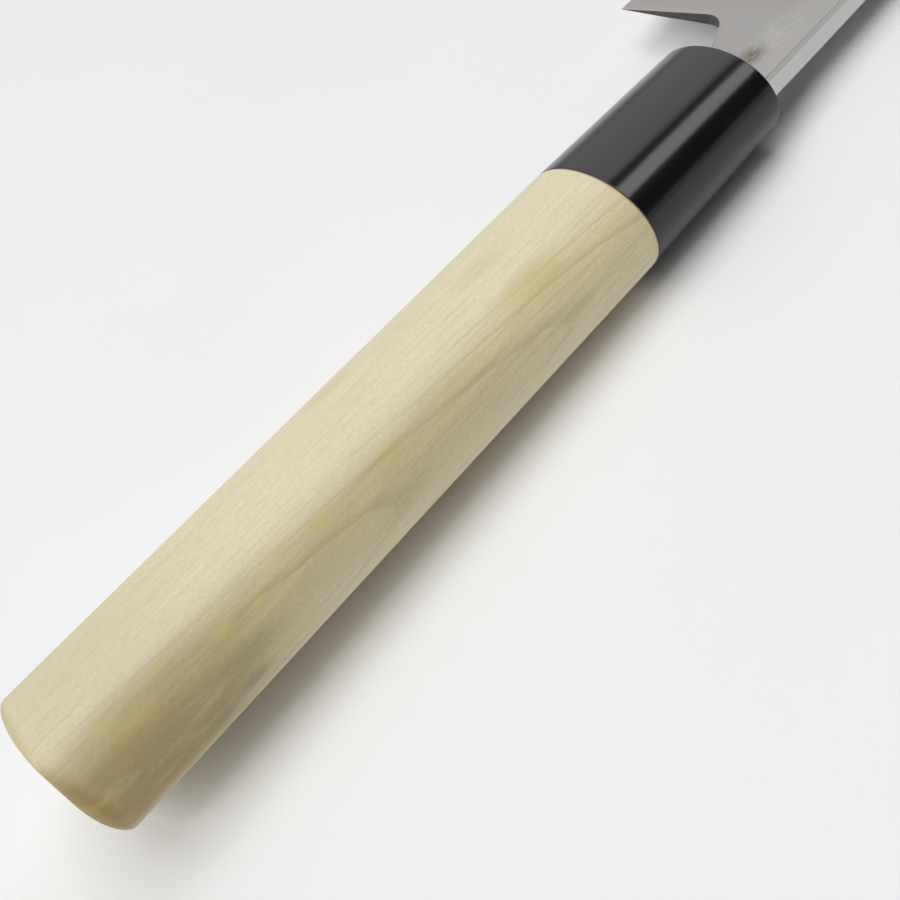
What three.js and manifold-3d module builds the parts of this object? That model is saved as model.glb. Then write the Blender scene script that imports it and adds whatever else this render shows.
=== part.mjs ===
// Usuba: a single-bevel vegetable knife with a burnt-in tang, a wooden oval handle and a ferrule.
// Millimetres. The origin is the middle of the butt end, on the handle's axis.
// +X runs from the butt to the tip, +Y to the cutting edge, +Z out of the flat (ura) side.

import * as THREE from 'three';
import { mergeVertices } from 'three/addons/utils/BufferGeometryUtils.js';
import Module from 'manifold-3d';

// Handle: an oval that tapers from the butt to the joint with the ferrule
const HANDLE_LENGTH = 109;
const BUTT_WIDTH = 25.7;
const BUTT_THICKNESS = 20.2;
const JOINT_WIDTH = 24.4;
const JOINT_THICKNESS = 19.2;
const BUTT_ROUND_DEPTH = 3.2;
const BUTT_FLAT_WIDTH = 10.5;
const BUTT_FLAT_THICKNESS = 5;

// Ferrule: goes on with the handle's taper, over a tenon of the handle
const FERRULE_LENGTH = 32;
const MOUTH_WIDTH = 23.1;
const MOUTH_THICKNESS = 17.4;
const FERRULE_WALL = 2.4;
const FERRULE_FRONT_WALL = 7.7;
const MOUTH_EDGE_RADIUS = 0.3;

// Blade: two welded layers, the hard one on the ura side
const EDGE_LENGTH = 180;
const BLADE_HEIGHT = 40;
const TIP_HEIGHT = 38.4;
const SPINE_INSET = 3.55;
const SPINE_THICKNESS = 4.3;
const TIP_SPINE_THICKNESS = 2.8;
const STEEL_THICKNESS = 1.2;
const EDGE_LAND = 0.1;
const BEVEL_HEIGHT = 18;
const BEVEL_THICKNESS = 2.05;
const TIP_LEAN = 2;
const TIP_RADIUS = 4;

// Hollow of the ura side, with a flat rim left all round it
const HOLLOW_DEPTH = 0.45;
const RIM_AT_SPINE = 5;
const RIM_AT_EDGE = 2.5;
const RIM_AT_HEEL = 2;
const RIM_AT_TIP = 5;
const HOLLOW_RUN_OUT = 16;

// Neck and the finger notch under it
const NOTCH_LENGTH = 15.7;
const HEEL_LEAN = 0.9;
const NECK_HEIGHT = 11;
const NECK_HEIGHT_AT_HEEL = 18.4;
const NOTCH_RADIUS = 5;

// Tang: stepped in from the neck, and tapered back into the handle
const TANG_LENGTH = 88;
const TANG_END_HEIGHT = 4.2;
const TANG_END_THICKNESS = 1.8;
const TANG_SPINE_STEP = 1;
const TANG_EDGE_STEP = 2.2;
const TANG_BEVEL_STEP = 0.6;

// Clearances
const FIT_GAP = 0.3;
const SEAL_WALL = 0.8;

// Fineness of the round forms
const OVAL_SIDES = 48;
const ROUND_STEPS = 6;
const HOLLOW_STEPS = 8;
const RUN_OUT_STEPS = 3;
const ARC_SEGMENTS = 10;

// Places along the handle's axis
const jointX = HANDLE_LENGTH;
const mouthX = jointX + FERRULE_LENGTH;
const tenonEndX = mouthX - FERRULE_FRONT_WALL - FIT_GAP;
const shoulderX = tenonEndX + 2 * FIT_GAP;
const tangEndX = shoulderX - TANG_LENGTH;
const heelX = mouthX + NOTCH_LENGTH;
const tipX = heelX + EDGE_LENGTH;

// Places across it
const spineY = SPINE_INSET - MOUTH_WIDTH / 2;
const edgeY = spineY + BLADE_HEIGHT;
const uraZ = SPINE_THICKNESS / 2;
const weldZ = uraZ - STEEL_THICKNESS;

// How far a cut or a join reaches past its face
const PAST = 2;

const wasm = await Module();
wasm.setup();

// A closed three.js geometry as a solid that can be joined and cut
function toSolid(geometry) {
  const bare = new THREE.BufferGeometry();
  bare.setAttribute('position', geometry.getAttribute('position'));
  bare.setIndex(geometry.getIndex());
  const merged = mergeVertices(bare);
  return new wasm.Manifold(new wasm.Mesh({
    numProp: 3,
    vertProperties: new Float32Array(merged.getAttribute('position').array),
    triVerts: new Uint32Array(merged.getIndex().array),
  }));
}

function toGeometry(solid) {
  const mesh = solid.getMesh();
  const geometry = new THREE.BufferGeometry();
  geometry.setAttribute('position', new THREE.BufferAttribute(mesh.vertProperties, 3));
  geometry.setIndex(new THREE.BufferAttribute(mesh.triVerts, 1));
  geometry.computeVertexNormals();
  return geometry;
}

// A skin over sections that follow each other along +X, closed at both ends.
// Each section is { x, points }, with its (y, z) points counter-clockwise seen from the tip.
function loft(sections) {
  const count = sections[0].points.length;
  const positions = sections.flatMap(({ x, points }) => points.flatMap((p) => [x, p.x, p.y]));
  const index = [];
  for (let s = 0; s < sections.length - 1; s += 1) {
    for (let k = 0; k < count; k += 1) {
      const a = s * count + k;
      const b = s * count + ((k + 1) % count);
      index.push(a, b, b + count, a, b + count, a + count);
    }
  }
  const last = sections.length - 1;
  for (const [a, b, c] of THREE.ShapeUtils.triangulateShape(sections[0].points, [])) {
    index.push(a, c, b);
  }
  for (const [a, b, c] of THREE.ShapeUtils.triangulateShape(sections[last].points, [])) {
    index.push(last * count + a, last * count + b, last * count + c);
  }
  const geometry = new THREE.BufferGeometry();
  geometry.setAttribute('position', new THREE.Float32BufferAttribute(positions, 3));
  geometry.setIndex(index);
  return geometry;
}

function ovalSection(x, halfWidth, halfThickness) {
  const points = [];
  for (let k = 0; k < OVAL_SIDES; k += 1) {
    const angle = (2 * Math.PI * k) / OVAL_SIDES;
    points.push(new THREE.Vector2(halfWidth * Math.cos(angle), halfThickness * Math.sin(angle)));
  }
  return { x, points };
}

function boxSection(x, lowY, highY, lowZ, highZ) {
  const points = [[lowY, lowZ], [highY, lowZ], [highY, highZ], [lowY, highZ]];
  return { x, points: points.map(([y, z]) => new THREE.Vector2(y, z)) };
}

// The handle's oval. At fullness 0 it has shrunk to the flat of the butt end.
function handleOval(x, fullness = 1) {
  const share = x / HANDLE_LENGTH;
  const width = THREE.MathUtils.lerp(BUTT_WIDTH, JOINT_WIDTH, share);
  const thickness = THREE.MathUtils.lerp(BUTT_THICKNESS, JOINT_THICKNESS, share);
  return ovalSection(
    x,
    THREE.MathUtils.lerp(BUTT_FLAT_WIDTH, width, fullness) / 2,
    THREE.MathUtils.lerp(BUTT_FLAT_THICKNESS, thickness, fullness) / 2,
  );
}

// The ferrule's outside, less an inset
function ferruleOval(x, inset = 0) {
  const share = (x - jointX) / FERRULE_LENGTH;
  return ovalSection(
    x,
    THREE.MathUtils.lerp(JOINT_WIDTH, MOUTH_WIDTH, share) / 2 - inset,
    THREE.MathUtils.lerp(JOINT_THICKNESS, MOUTH_THICKNESS, share) / 2 - inset,
  );
}

// The tang as a tapered bar under the weld plane, grown by a clearance
function tangBar(fromX, toX, room) {
  const rootHeight = NECK_HEIGHT - TANG_SPINE_STEP - TANG_EDGE_STEP;
  const rootThickness = SPINE_THICKNESS - STEEL_THICKNESS - TANG_BEVEL_STEP;
  const middleY = spineY + TANG_SPINE_STEP + rootHeight / 2;
  const at = (x) => {
    const share = (shoulderX - x) / TANG_LENGTH;
    const half = THREE.MathUtils.lerp(rootHeight, TANG_END_HEIGHT, share) / 2 + room;
    const thickness = THREE.MathUtils.lerp(rootThickness, TANG_END_THICKNESS, share);
    return boxSection(x, middleY - half, middleY + half, weldZ - thickness - room, weldZ + room);
  };
  return toSolid(loft([at(fromX), at(toX)]));
}

// Wooden handle with the tenon for the ferrule and the burnt slot for the tang
function makeHandle() {
  const sections = [];
  for (let step = 0; step <= ROUND_STEPS; step += 1) {
    const angle = (step / ROUND_STEPS) * (Math.PI / 2);
    sections.push(handleOval(BUTT_ROUND_DEPTH * (1 - Math.cos(angle)), Math.sin(angle)));
  }
  sections.push(handleOval(jointX));
  sections.push(ferruleOval(jointX, FERRULE_WALL + FIT_GAP));
  sections.push(ferruleOval(tenonEndX, FERRULE_WALL + FIT_GAP));
  const slot = tangBar(tangEndX - FIT_GAP, tenonEndX + PAST, FIT_GAP);
  return toGeometry(toSolid(loft(sections)).subtract(slot));
}

// The slot in the ferrule's front wall, with room for the seal round the neck
function mouthSlot(fromX, toX, room) {
  const sides = [spineY - room, spineY + NECK_HEIGHT + room, -uraZ - room, uraZ + room];
  return toSolid(loft([boxSection(fromX, ...sides), boxSection(toX, ...sides)]));
}

function makeFerrule() {
  const sections = [ferruleOval(jointX)];
  for (let step = 0; step <= ROUND_STEPS; step += 1) {
    const angle = (step / ROUND_STEPS) * (Math.PI / 2);
    const x = mouthX - MOUTH_EDGE_RADIUS * (1 - Math.sin(angle));
    sections.push(ferruleOval(x, MOUTH_EDGE_RADIUS * (1 - Math.cos(angle))));
  }
  const socket = toSolid(loft([
    ferruleOval(jointX - PAST, FERRULE_WALL),
    ferruleOval(tenonEndX + FIT_GAP, FERRULE_WALL),
  ]));
  const slot = mouthSlot(jointX, mouthX + PAST, SEAL_WALL + 2 * FIT_GAP);
  return toGeometry(toSolid(loft(sections)).subtract(socket).subtract(slot));
}

// Resin that closes the ferrule's mouth round the neck of the blade
function makeSeal() {
  const outside = mouthSlot(tenonEndX + FIT_GAP, mouthX, SEAL_WALL + FIT_GAP);
  const neck = mouthSlot(tenonEndX - PAST, mouthX + PAST, FIT_GAP);
  return toGeometry(outside.subtract(neck));
}

// Side view of the blade and neck, wider than the blade at the edge, where the bevel ends it
function bladeOutline() {
  const below = edgeY + PAST;
  const tipTopX = tipX - TIP_LEAN;
  const neckY = spineY + NECK_HEIGHT;
  const corner = new THREE.Vector2(heelX + HEEL_LEAN, spineY + NECK_HEIGHT_AT_HEEL);
  const heel = new THREE.Vector2(heelX, edgeY).sub(corner).normalize();
  const neck = new THREE.Vector2(mouthX, neckY).sub(corner).normalize();
  const half = heel.angleTo(neck) / 2;
  const tangent = NOTCH_RADIUS / Math.tan(half);
  const arcMiddle = heel.clone().add(neck).setLength(NOTCH_RADIUS / Math.sin(half)).add(corner);
  const arcStart = heel.clone().multiplyScalar(tangent).add(corner).sub(arcMiddle).angle();
  const arcEnd = neck.clone().multiplyScalar(tangent).add(corner).sub(arcMiddle).angle();

  const shape = new THREE.Shape();
  shape.moveTo(shoulderX, spineY);
  shape.lineTo(tipTopX - TIP_RADIUS, spineY);
  shape.absarc(tipTopX - TIP_RADIUS, spineY + TIP_RADIUS, TIP_RADIUS, -Math.PI / 2, 0, false);
  shape.lineTo(tipX, edgeY);
  shape.lineTo(tipX, below);
  shape.lineTo(heelX, below);
  shape.lineTo(heelX, edgeY);
  shape.absarc(arcMiddle.x, arcMiddle.y, NOTCH_RADIUS, arcStart, arcEnd, true);
  shape.lineTo(mouthX, neckY);
  shape.lineTo(shoulderX, neckY);
  const depth = 2 * SPINE_THICKNESS;
  const prism = new THREE.ExtrudeGeometry(shape, {
    depth, bevelEnabled: false, curveSegments: ARC_SEGMENTS,
  });
  return toSolid(prism.translate(0, 0, -depth / 2));
}

// What changes along the blade: the edge's place, the spine's thickness, the hollow's depth
function bladeAt(x) {
  const share = THREE.MathUtils.clamp((x - heelX) / EDGE_LENGTH, 0, 1);
  const fromHeel = (x - heelX - RIM_AT_HEEL) / HOLLOW_RUN_OUT;
  const fromTip = (tipX - TIP_LEAN - RIM_AT_TIP - x) / HOLLOW_RUN_OUT;
  return {
    edge: THREE.MathUtils.lerp(edgeY, spineY + TIP_HEIGHT, share),
    spine: THREE.MathUtils.lerp(SPINE_THICKNESS, TIP_SPINE_THICKNESS, share),
    hollow: HOLLOW_DEPTH * THREE.MathUtils.smoothstep(Math.min(fromHeel, fromTip), 0, 1),
  };
}

// Stations along the blade, close together where the hollow runs out
function bladeStations() {
  const stations = [shoulderX];
  const hollowEnds = [heelX + RIM_AT_HEEL, tipX - TIP_LEAN - RIM_AT_TIP - HOLLOW_RUN_OUT];
  for (const start of hollowEnds) {
    for (let step = 0; step <= RUN_OUT_STEPS; step += 1) {
      stations.push(start + (HOLLOW_RUN_OUT * step) / RUN_OUT_STEPS);
    }
  }
  stations.push(tipX);
  return stations;
}

// Distance from the edge at which the bevel reaches a thickness
function bevelReach(thickness) {
  return (BEVEL_HEIGHT * (thickness - EDGE_LAND)) / (BEVEL_THICKNESS - EDGE_LAND);
}

// Hard steel on the ura side, from the edge to the spine
function makeSteel() {
  const backY = spineY - PAST;
  const sections = bladeStations().map((x) => {
    const { edge, hollow } = bladeAt(x);
    const rimY = edge - RIM_AT_EDGE;
    const width = rimY - (spineY + RIM_AT_SPINE);
    const points = [
      new THREE.Vector2(backY, weldZ),
      new THREE.Vector2(edge - bevelReach(STEEL_THICKNESS), weldZ),
      new THREE.Vector2(edge, uraZ - EDGE_LAND),
      new THREE.Vector2(edge, uraZ),
    ];
    for (let step = 0; step <= HOLLOW_STEPS; step += 1) {
      const share = step / HOLLOW_STEPS;
      const depth = hollow * 4 * share * (1 - share);
      points.push(new THREE.Vector2(rimY - width * share, uraZ - depth));
    }
    points.push(new THREE.Vector2(backY, uraZ));
    return { x, points };
  });
  return toGeometry(toSolid(loft(sections)).intersect(bladeOutline()));
}

// Soft iron on the bevel side, with the neck and the tang
function makeIron() {
  const sections = bladeStations().map((x) => {
    const { edge, spine } = bladeAt(x);
    const bevelY = edge - BEVEL_HEIGHT;
    const slope = (spine - BEVEL_THICKNESS) / (bevelY - spineY);
    const points = [
      new THREE.Vector2(spineY - PAST, uraZ - spine - slope * PAST),
      new THREE.Vector2(bevelY, uraZ - BEVEL_THICKNESS),
      new THREE.Vector2(edge - bevelReach(STEEL_THICKNESS), weldZ),
      new THREE.Vector2(spineY - PAST, weldZ),
    ];
    return { x, points };
  });
  const blade = toSolid(loft(sections)).intersect(bladeOutline());
  return toGeometry(blade.add(tangBar(tangEndX, shoulderX + PAST, 0)));
}

function material(color, roughness, metalness) {
  return new THREE.MeshStandardMaterial({ color, roughness, metalness });
}

function piece(name, geometry, finish) {
  const mesh = new THREE.Mesh(geometry, finish);
  mesh.name = name;
  return mesh;
}

const knife = new THREE.Group();
knife.add(
  piece('handle_wood', makeHandle(), material(0xd8cba2, 0.7, 0)),
  piece('ferrule', makeFerrule(), material(0x141416, 0.22, 0)),
  piece('mouth_seal', makeSeal(), material(0x4a3521, 0.6, 0)),
  piece('blade_iron', makeIron(), material(0x9d9d99, 0.42, 1)),
  piece('blade_steel', makeSteel(), material(0xb3b3af, 0.32, 1)),
);

export default knife;
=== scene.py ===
"""Looks of a usuba knife: wooden handle, black ferrule, resin seal and a blade of two layers.

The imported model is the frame. Each piece here stands for one of its nodes and keeps that node's place.
Sizes in the classes are millimetres in the model's frame, and meshes are made in metres.
"""

import logging
import math
from dataclasses import dataclass, field
from enum import Enum

import bmesh
import bpy
import numpy as np
from bpy.types import Material, NodeOutputs, NodeSocket, NodeTree, Object
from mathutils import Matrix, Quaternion, Vector


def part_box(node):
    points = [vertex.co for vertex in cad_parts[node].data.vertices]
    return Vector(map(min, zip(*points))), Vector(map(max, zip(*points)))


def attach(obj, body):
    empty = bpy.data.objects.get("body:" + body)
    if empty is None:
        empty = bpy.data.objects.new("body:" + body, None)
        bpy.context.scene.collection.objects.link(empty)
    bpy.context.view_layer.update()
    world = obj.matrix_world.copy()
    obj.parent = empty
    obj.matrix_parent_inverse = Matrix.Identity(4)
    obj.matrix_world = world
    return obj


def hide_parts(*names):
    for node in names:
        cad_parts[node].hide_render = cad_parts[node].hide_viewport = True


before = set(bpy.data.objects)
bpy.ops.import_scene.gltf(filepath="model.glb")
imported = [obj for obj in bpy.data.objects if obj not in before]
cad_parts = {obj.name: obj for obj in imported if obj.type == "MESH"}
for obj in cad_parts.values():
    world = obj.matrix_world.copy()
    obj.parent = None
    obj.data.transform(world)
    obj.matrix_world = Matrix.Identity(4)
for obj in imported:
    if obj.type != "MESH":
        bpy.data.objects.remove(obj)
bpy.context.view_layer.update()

log = logging.getLogger("usuba")

MM = 0.001
BODY = "root"

Colour = tuple[float, float, float]
Point = tuple[float, float, float]
Pair = tuple[float, float]
Step = tuple[float, float, float, float]

# Room that the model leaves round pieces that fit into each other.
FIT_GAP = 0.3
# Half width and half thickness where the handle meets the ferrule, and at the ferrule's mouth.
JOINT_HALF: Pair = (12.2, 9.6)
MOUTH_HALF: Pair = (11.55, 8.7)
# Picks the y and z of a point.
ACROSS: Point = (0.0, 1.0, 1.0)
# Forge scale, on both layers of the blade.
SCALE: Colour = (0.068, 0.060, 0.056)


class Node(str, Enum):
    """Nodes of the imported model."""

    HANDLE = "handle_wood"
    FERRULE = "ferrule"
    SEAL = "mouth_seal"
    IRON = "blade_iron"
    STEEL = "blade_steel"


class Slot(str, Enum):
    """Material slots of the record."""

    WOOD = "pale_wood"
    BLACK = "black_gloss"
    RESIN = "brown_resin"
    IRON = "soft_iron"
    STEEL = "hard_steel"


class Side(Enum):
    """The side of a blade layer that carries its rounded edges."""

    URA = 1.0
    OMOTE = -1.0


def node_box(node: Node) -> tuple[np.ndarray, np.ndarray]:
    """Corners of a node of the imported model.

    Args:
        node: The node to measure.

    Returns:
        Its lowest and highest corner in millimetres.
    """
    low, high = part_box(node.value)
    return np.array(low) / MM, np.array(high) / MM


class Skin:
    """Collects points and faces in millimetres and makes one closed mesh object of them."""

    def __init__(self) -> None:
        """Starts with no points and no faces."""
        self.points: list[Point] = []
        self.faces: list[tuple[int, ...]] = []

    def add(self, points: np.ndarray) -> np.ndarray:
        """Adds points.

        Args:
            points: An array whose last axis holds x, y and z.

        Returns:
            The points' numbers, in the shape of the array's other axes.
        """
        flat = np.asarray(points, float).reshape(-1, 3)
        first = len(self.points)
        self.points.extend(map(tuple, flat))
        return np.arange(first, first + len(flat)).reshape(np.shape(points)[:-1])

    def strip(self, one: np.ndarray, two: np.ndarray, closed: bool = True) -> None:
        """Joins two rows of points by quads.

        Args:
            one: Numbers of the first row's points.
            two: Numbers of the second row's points, as many.
            closed: Whether the last points join the first ones.
        """
        count = len(one)
        for k in range(count if closed else count - 1):
            n = (k + 1) % count
            self.faces.append((int(one[k]), int(one[n]), int(two[n]), int(two[k])))

    def fan(self, ring: np.ndarray) -> None:
        """Closes a ring with triangles to its middle.

        Args:
            ring: Numbers of the ring's points.
        """
        middle = np.mean([self.points[k] for k in ring], axis=0)
        centre = int(self.add(middle[None])[0])
        for k, number in enumerate(ring):
            self.faces.append((int(number), int(ring[(k + 1) % len(ring)]), centre))

    def rings(self, rings: list[np.ndarray]) -> None:
        """Skins a row of rings and closes both ends.

        Args:
            rings: Arrays of points, all with the same count.
        """
        numbers = [self.add(ring) for ring in rings]
        for one, two in zip(numbers, numbers[1:]):
            self.strip(one, two)
        self.fan(numbers[0])
        self.fan(numbers[-1])

    def make(self, name: str) -> Object:
        """Makes the object, with its faces turned outwards.

        Args:
            name: The object's name.

        Returns:
            The object, linked to the scene.
        """
        mesh = bpy.data.meshes.new(name)
        mesh.from_pydata([tuple(c * MM for c in p) for p in self.points], [], self.faces)
        build = bmesh.new()
        build.from_mesh(mesh)
        bmesh.ops.recalc_face_normals(build, faces=build.faces)
        build.to_mesh(mesh)
        build.free()
        piece = bpy.data.objects.new(name, mesh)
        bpy.context.scene.collection.objects.link(piece)
        return piece


def lofted(name: str, rings: list[np.ndarray]) -> Object:
    """Makes an object of a row of rings with closed ends.

    Args:
        name: The object's name.
        rings: Arrays of points, all with the same count.

    Returns:
        The object, linked to the scene.
    """
    skin = Skin()
    skin.rings(rings)
    return skin.make(name)


def combine(piece: Object, tool: Object, operation: str) -> None:
    """Joins a tool to a piece or cuts the piece by it, and deletes the tool.

    Args:
        piece: The object to change.
        tool: The other object.
        operation: UNION or DIFFERENCE.
    """
    modifier = piece.modifiers.new("combine", "BOOLEAN")
    modifier.operation = operation
    modifier.object = tool
    modifier.solver = "EXACT"
    bpy.context.view_layer.update()
    shaped = piece.evaluated_get(bpy.context.evaluated_depsgraph_get())
    mesh = bpy.data.meshes.new_from_object(shaped)
    piece.modifiers.clear()
    old, piece.data = piece.data, mesh
    bpy.data.meshes.remove(old)
    bpy.data.objects.remove(tool)


def smooth(piece: Object, sharp_deg: float = 30.0) -> None:
    """Shades a piece smooth, but keeps edges sharper than an angle."""
    piece.data.shade_smooth()
    piece.data.set_sharp_from_angle(angle=math.radians(sharp_deg))


def fit_out(piece: Object, node: Node, finish: Material) -> None:
    """Gives a piece its finish in its slot and its body, hides the node that it stands for, and reports it.

    Args:
        piece: The finished mesh object.
        node: The node that it stands for.
        finish: The material.
    """
    piece.data.materials.clear()
    piece.data.materials.append(finish)
    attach(piece, BODY)
    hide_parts(node.value)
    log.info("%s stands for %s, %d faces", piece.name, node.value, len(piece.data.polygons))


Value = NodeSocket | float | tuple


class Graph:
    """Adds nodes to a shader tree, feeds their inputs and hands back their outputs."""

    def __init__(self, tree: NodeTree) -> None:
        """Keeps the tree."""
        self.tree = tree

    def node(
        self, kind: str, inputs: dict[str | int, Value] | None = None, **settings: object,
    ) -> bpy.types.Node:
        """Adds a node.

        Args:
            kind: The node's type, without the ShaderNode in front.
            inputs: What goes into its sockets, by name or number.
            **settings: Properties of the node.

        Returns:
            The node.
        """
        made = self.tree.nodes.new("ShaderNode" + kind)
        for name, value in settings.items():
            setattr(made, name, value)
        for name, value in (inputs or {}).items():
            self.feed(made.inputs[name], value)
        return made

    def feed(self, socket: NodeSocket, value: Value) -> None:
        """Links an output to a socket, or sets the socket's own value.

        Args:
            socket: The input.
            value: The output, number, vector or colour that goes into it.
        """
        if isinstance(value, NodeSocket):
            self.tree.links.new(value, socket)
        elif socket.type == "RGBA" and len(value) == 3:
            socket.default_value = (*value, 1.0)
        else:
            socket.default_value = value

    def place(self) -> NodeSocket:
        """The point on the surface in millimetres of the model's frame."""
        coordinates = self.node("TexCoord").outputs["Object"]
        return self.vector("SCALE", coordinates, Scale=1 / MM)

    def split(self, vector: NodeSocket) -> tuple[NodeSocket, NodeSocket, NodeSocket]:
        """The three parts of a vector."""
        parts = self.node("SeparateXYZ", {0: vector}).outputs
        return parts[0], parts[1], parts[2]

    def normal(self) -> tuple[NodeSocket, NodeSocket, NodeSocket]:
        """The three parts of the surface's normal."""
        return self.split(self.node("NewGeometry").outputs["Normal"])

    def vector(self, operation: str, one: Value, two: Value | None = None, **more: float) -> NodeSocket:
        """A vector sum.

        Args:
            operation: The operation's name in Blender.
            one: The first vector.
            two: The second vector, where the operation has one.
            **more: Other inputs by name.

        Returns:
            The vector, or the number for LENGTH.
        """
        inputs: dict[str | int, Value] = {0: one, **more}
        if two is not None:
            inputs[1] = two
        made = self.node("VectorMath", inputs, operation=operation)
        return made.outputs["Value" if operation == "LENGTH" else "Vector"]

    def math(self, operation: str, *values: Value) -> NodeSocket:
        """A sum of numbers by the operation's name in Blender."""
        return self.node("Math", dict(enumerate(values)), operation=operation).outputs[0]

    def times(self, one: Value, two: Value) -> NodeSocket:
        """The product of two numbers."""
        return self.math("MULTIPLY", one, two)

    def less(self, one: Value, two: Value) -> NodeSocket:
        """The first number less the second."""
        return self.math("SUBTRACT", one, two)

    def line(self, value: Value, slope: Value, start: Value) -> NodeSocket:
        """A number times a slope, plus a start."""
        return self.math("MULTIPLY_ADD", value, slope, start)

    def between(
        self, value: Value, low: Value, high: Value, start: float = 0.0, end: float = 1.0,
    ) -> NodeSocket:
        """A smooth step.

        Args:
            value: The number that drives it.
            low: Where the step starts.
            high: Where it ends.
            start: What it gives at and before low.
            end: What it gives at and past high.

        Returns:
            The stepped number.
        """
        inputs = {"Value": value, 1: low, 2: high, 3: start, 4: end}
        return self.node("MapRange", inputs, interpolation_type="SMOOTHSTEP").outputs[0]

    def noise(self, vector: NodeSocket, wave: Value, detail: float = 2.0, rough: float = 0.5) -> NodeSocket:
        """Noise from 0 to 1.

        Args:
            vector: The point.
            wave: About how long one wave is along each axis, in millimetres.
            detail: How many finer waves are added.
            rough: How strong the finer waves are.

        Returns:
            The noise.
        """
        scaled = self.vector("DIVIDE", vector, wave)
        inputs = {"Vector": scaled, "Scale": 1.0, "Detail": detail, "Roughness": rough}
        return self.node("TexNoise", inputs).outputs[0]

    def mix(self, share: Value, one: Value, two: Value, blend: str = "MIX") -> NodeSocket:
        """A mix of two colours by a share."""
        inputs = {0: share, 6: one, 7: two}
        return self.node("Mix", inputs, data_type="RGBA", blend_type=blend).outputs[2]

    def grey(self, tone: NodeSocket) -> NodeSocket:
        """A grey of a tone, as a colour."""
        return self.node("CombineColor", {0: tone, 1: tone, 2: tone}).outputs[0]

    def bump(self, height: NodeSocket, depth: float) -> NodeSocket:
        """A normal bent by a height of 0 to 1, of which 1 stands for a depth in millimetres."""
        inputs = {"Height": height, "Distance": depth * MM, "Strength": 1.0}
        return self.node("Bump", inputs).outputs[0]

    def set(self, node: bpy.types.Node, **inputs: Value) -> NodeOutputs:
        """Feeds several inputs of a node.

        Args:
            node: The node.
            **inputs: What goes into its sockets, by name with _ for a space.

        Returns:
            The node's outputs.
        """
        for name, value in inputs.items():
            self.feed(node.inputs[name.replace("_", " ")], value)
        return node.outputs

    def group(self, group: NodeTree, **inputs: Value) -> NodeOutputs:
        """Places a shared group, feeds its inputs and hands back its outputs."""
        return self.set(self.node("Group", node_tree=group), **inputs)


class Effect:
    """A shader node group that several finishes share."""

    def __init__(self, name: str, inputs: dict[str, Value], outputs: tuple[str, ...]) -> None:
        """Makes the group and its sockets.

        Args:
            name: The group's name.
            inputs: The inputs' names and usual values, a number or a vector.
            outputs: The outputs' names, all numbers.
        """
        self.tree = bpy.data.node_groups.new(name, "ShaderNodeTree")
        self.graph = Graph(self.tree)
        for label, value in inputs.items():
            kind = "NodeSocketVector" if isinstance(value, tuple) else "NodeSocketFloat"
            socket = self.tree.interface.new_socket(label, in_out="INPUT", socket_type=kind)
            socket.default_value = value
        for label in outputs:
            self.tree.interface.new_socket(label, in_out="OUTPUT", socket_type="NodeSocketFloat")
        self.given = self.tree.nodes.new("NodeGroupInput").outputs
        self.result = self.tree.nodes.new("NodeGroupOutput").inputs


def make_spot() -> NodeTree:
    """A soft spot with a ragged edge, such as a stain or a patch of another colour.

    Returns:
        The group, with the output Mask.
    """
    effect = Effect(
        "spot",
        {
            "Middle": (0.0, 0.0, 0.0), "Reach": (1.0, 1.0, 1.0), "Grain": (6.0, 1.0, 1.0),
            "Ragged": 0.6, "Streak": 0.0,
        },
        ("Mask",),
    )
    graph, given = effect.graph, effect.given
    place = graph.place()
    offset = graph.vector("DIVIDE", graph.vector("SUBTRACT", place, given["Middle"]), given["Reach"])
    far = graph.vector("LENGTH", offset)
    grain = graph.noise(place, given["Grain"], detail=3.0, rough=0.6)
    rough_edge = graph.times(graph.less(grain, 0.5), given["Ragged"])
    soft = graph.between(graph.math("ADD", far, rough_edge), 1.0, 0.1)
    bare = graph.times(graph.between(grain, 0.60, 0.42), given["Streak"])
    graph.feed(effect.result["Mask"], graph.times(soft, graph.less(1.0, bare)))
    return effect.tree


def make_scratches() -> NodeTree:
    """Fine scratches left by a stone, a belt or a polishing cloth.

    Returns:
        The group, with the outputs Fine and Bold.
    """
    effect = Effect(
        "scratches",
        {"Wave": (30.0, 0.25, 0.25), "Bold Wave": (18.0, 0.6, 0.6), "Bold Share": 0.62, "Bold Turn": 0.0},
        ("Fine", "Bold"),
    )
    graph, given = effect.graph, effect.given
    place = graph.place()
    fine = graph.noise(place, given["Wave"], detail=3.0, rough=0.65)
    turn = {"Vector": place, "Angle": given["Bold Turn"]}
    turned = graph.node("VectorRotate", turn, rotation_type="Z_AXIS").outputs[0]
    bold = graph.noise(turned, given["Bold Wave"])
    above = graph.less(bold, given["Bold Share"])
    graph.feed(effect.result["Fine"], fine)
    graph.feed(effect.result["Bold"], graph.between(above, 0.0, 0.08))
    return effect.tree


def make_mottle() -> NodeTree:
    """Slow, cloudy change over a surface, such as handling marks or haze.

    Returns:
        The group, with the output Cloud.
    """
    effect = Effect("mottle", {"Wave": (8.0, 8.0, 8.0)}, ("Cloud",))
    graph = effect.graph
    cloud = graph.noise(graph.place(), effect.given["Wave"], detail=4.0, rough=0.55)
    graph.feed(effect.result["Cloud"], graph.between(cloud, 0.3, 0.7))
    return effect.tree


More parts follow.
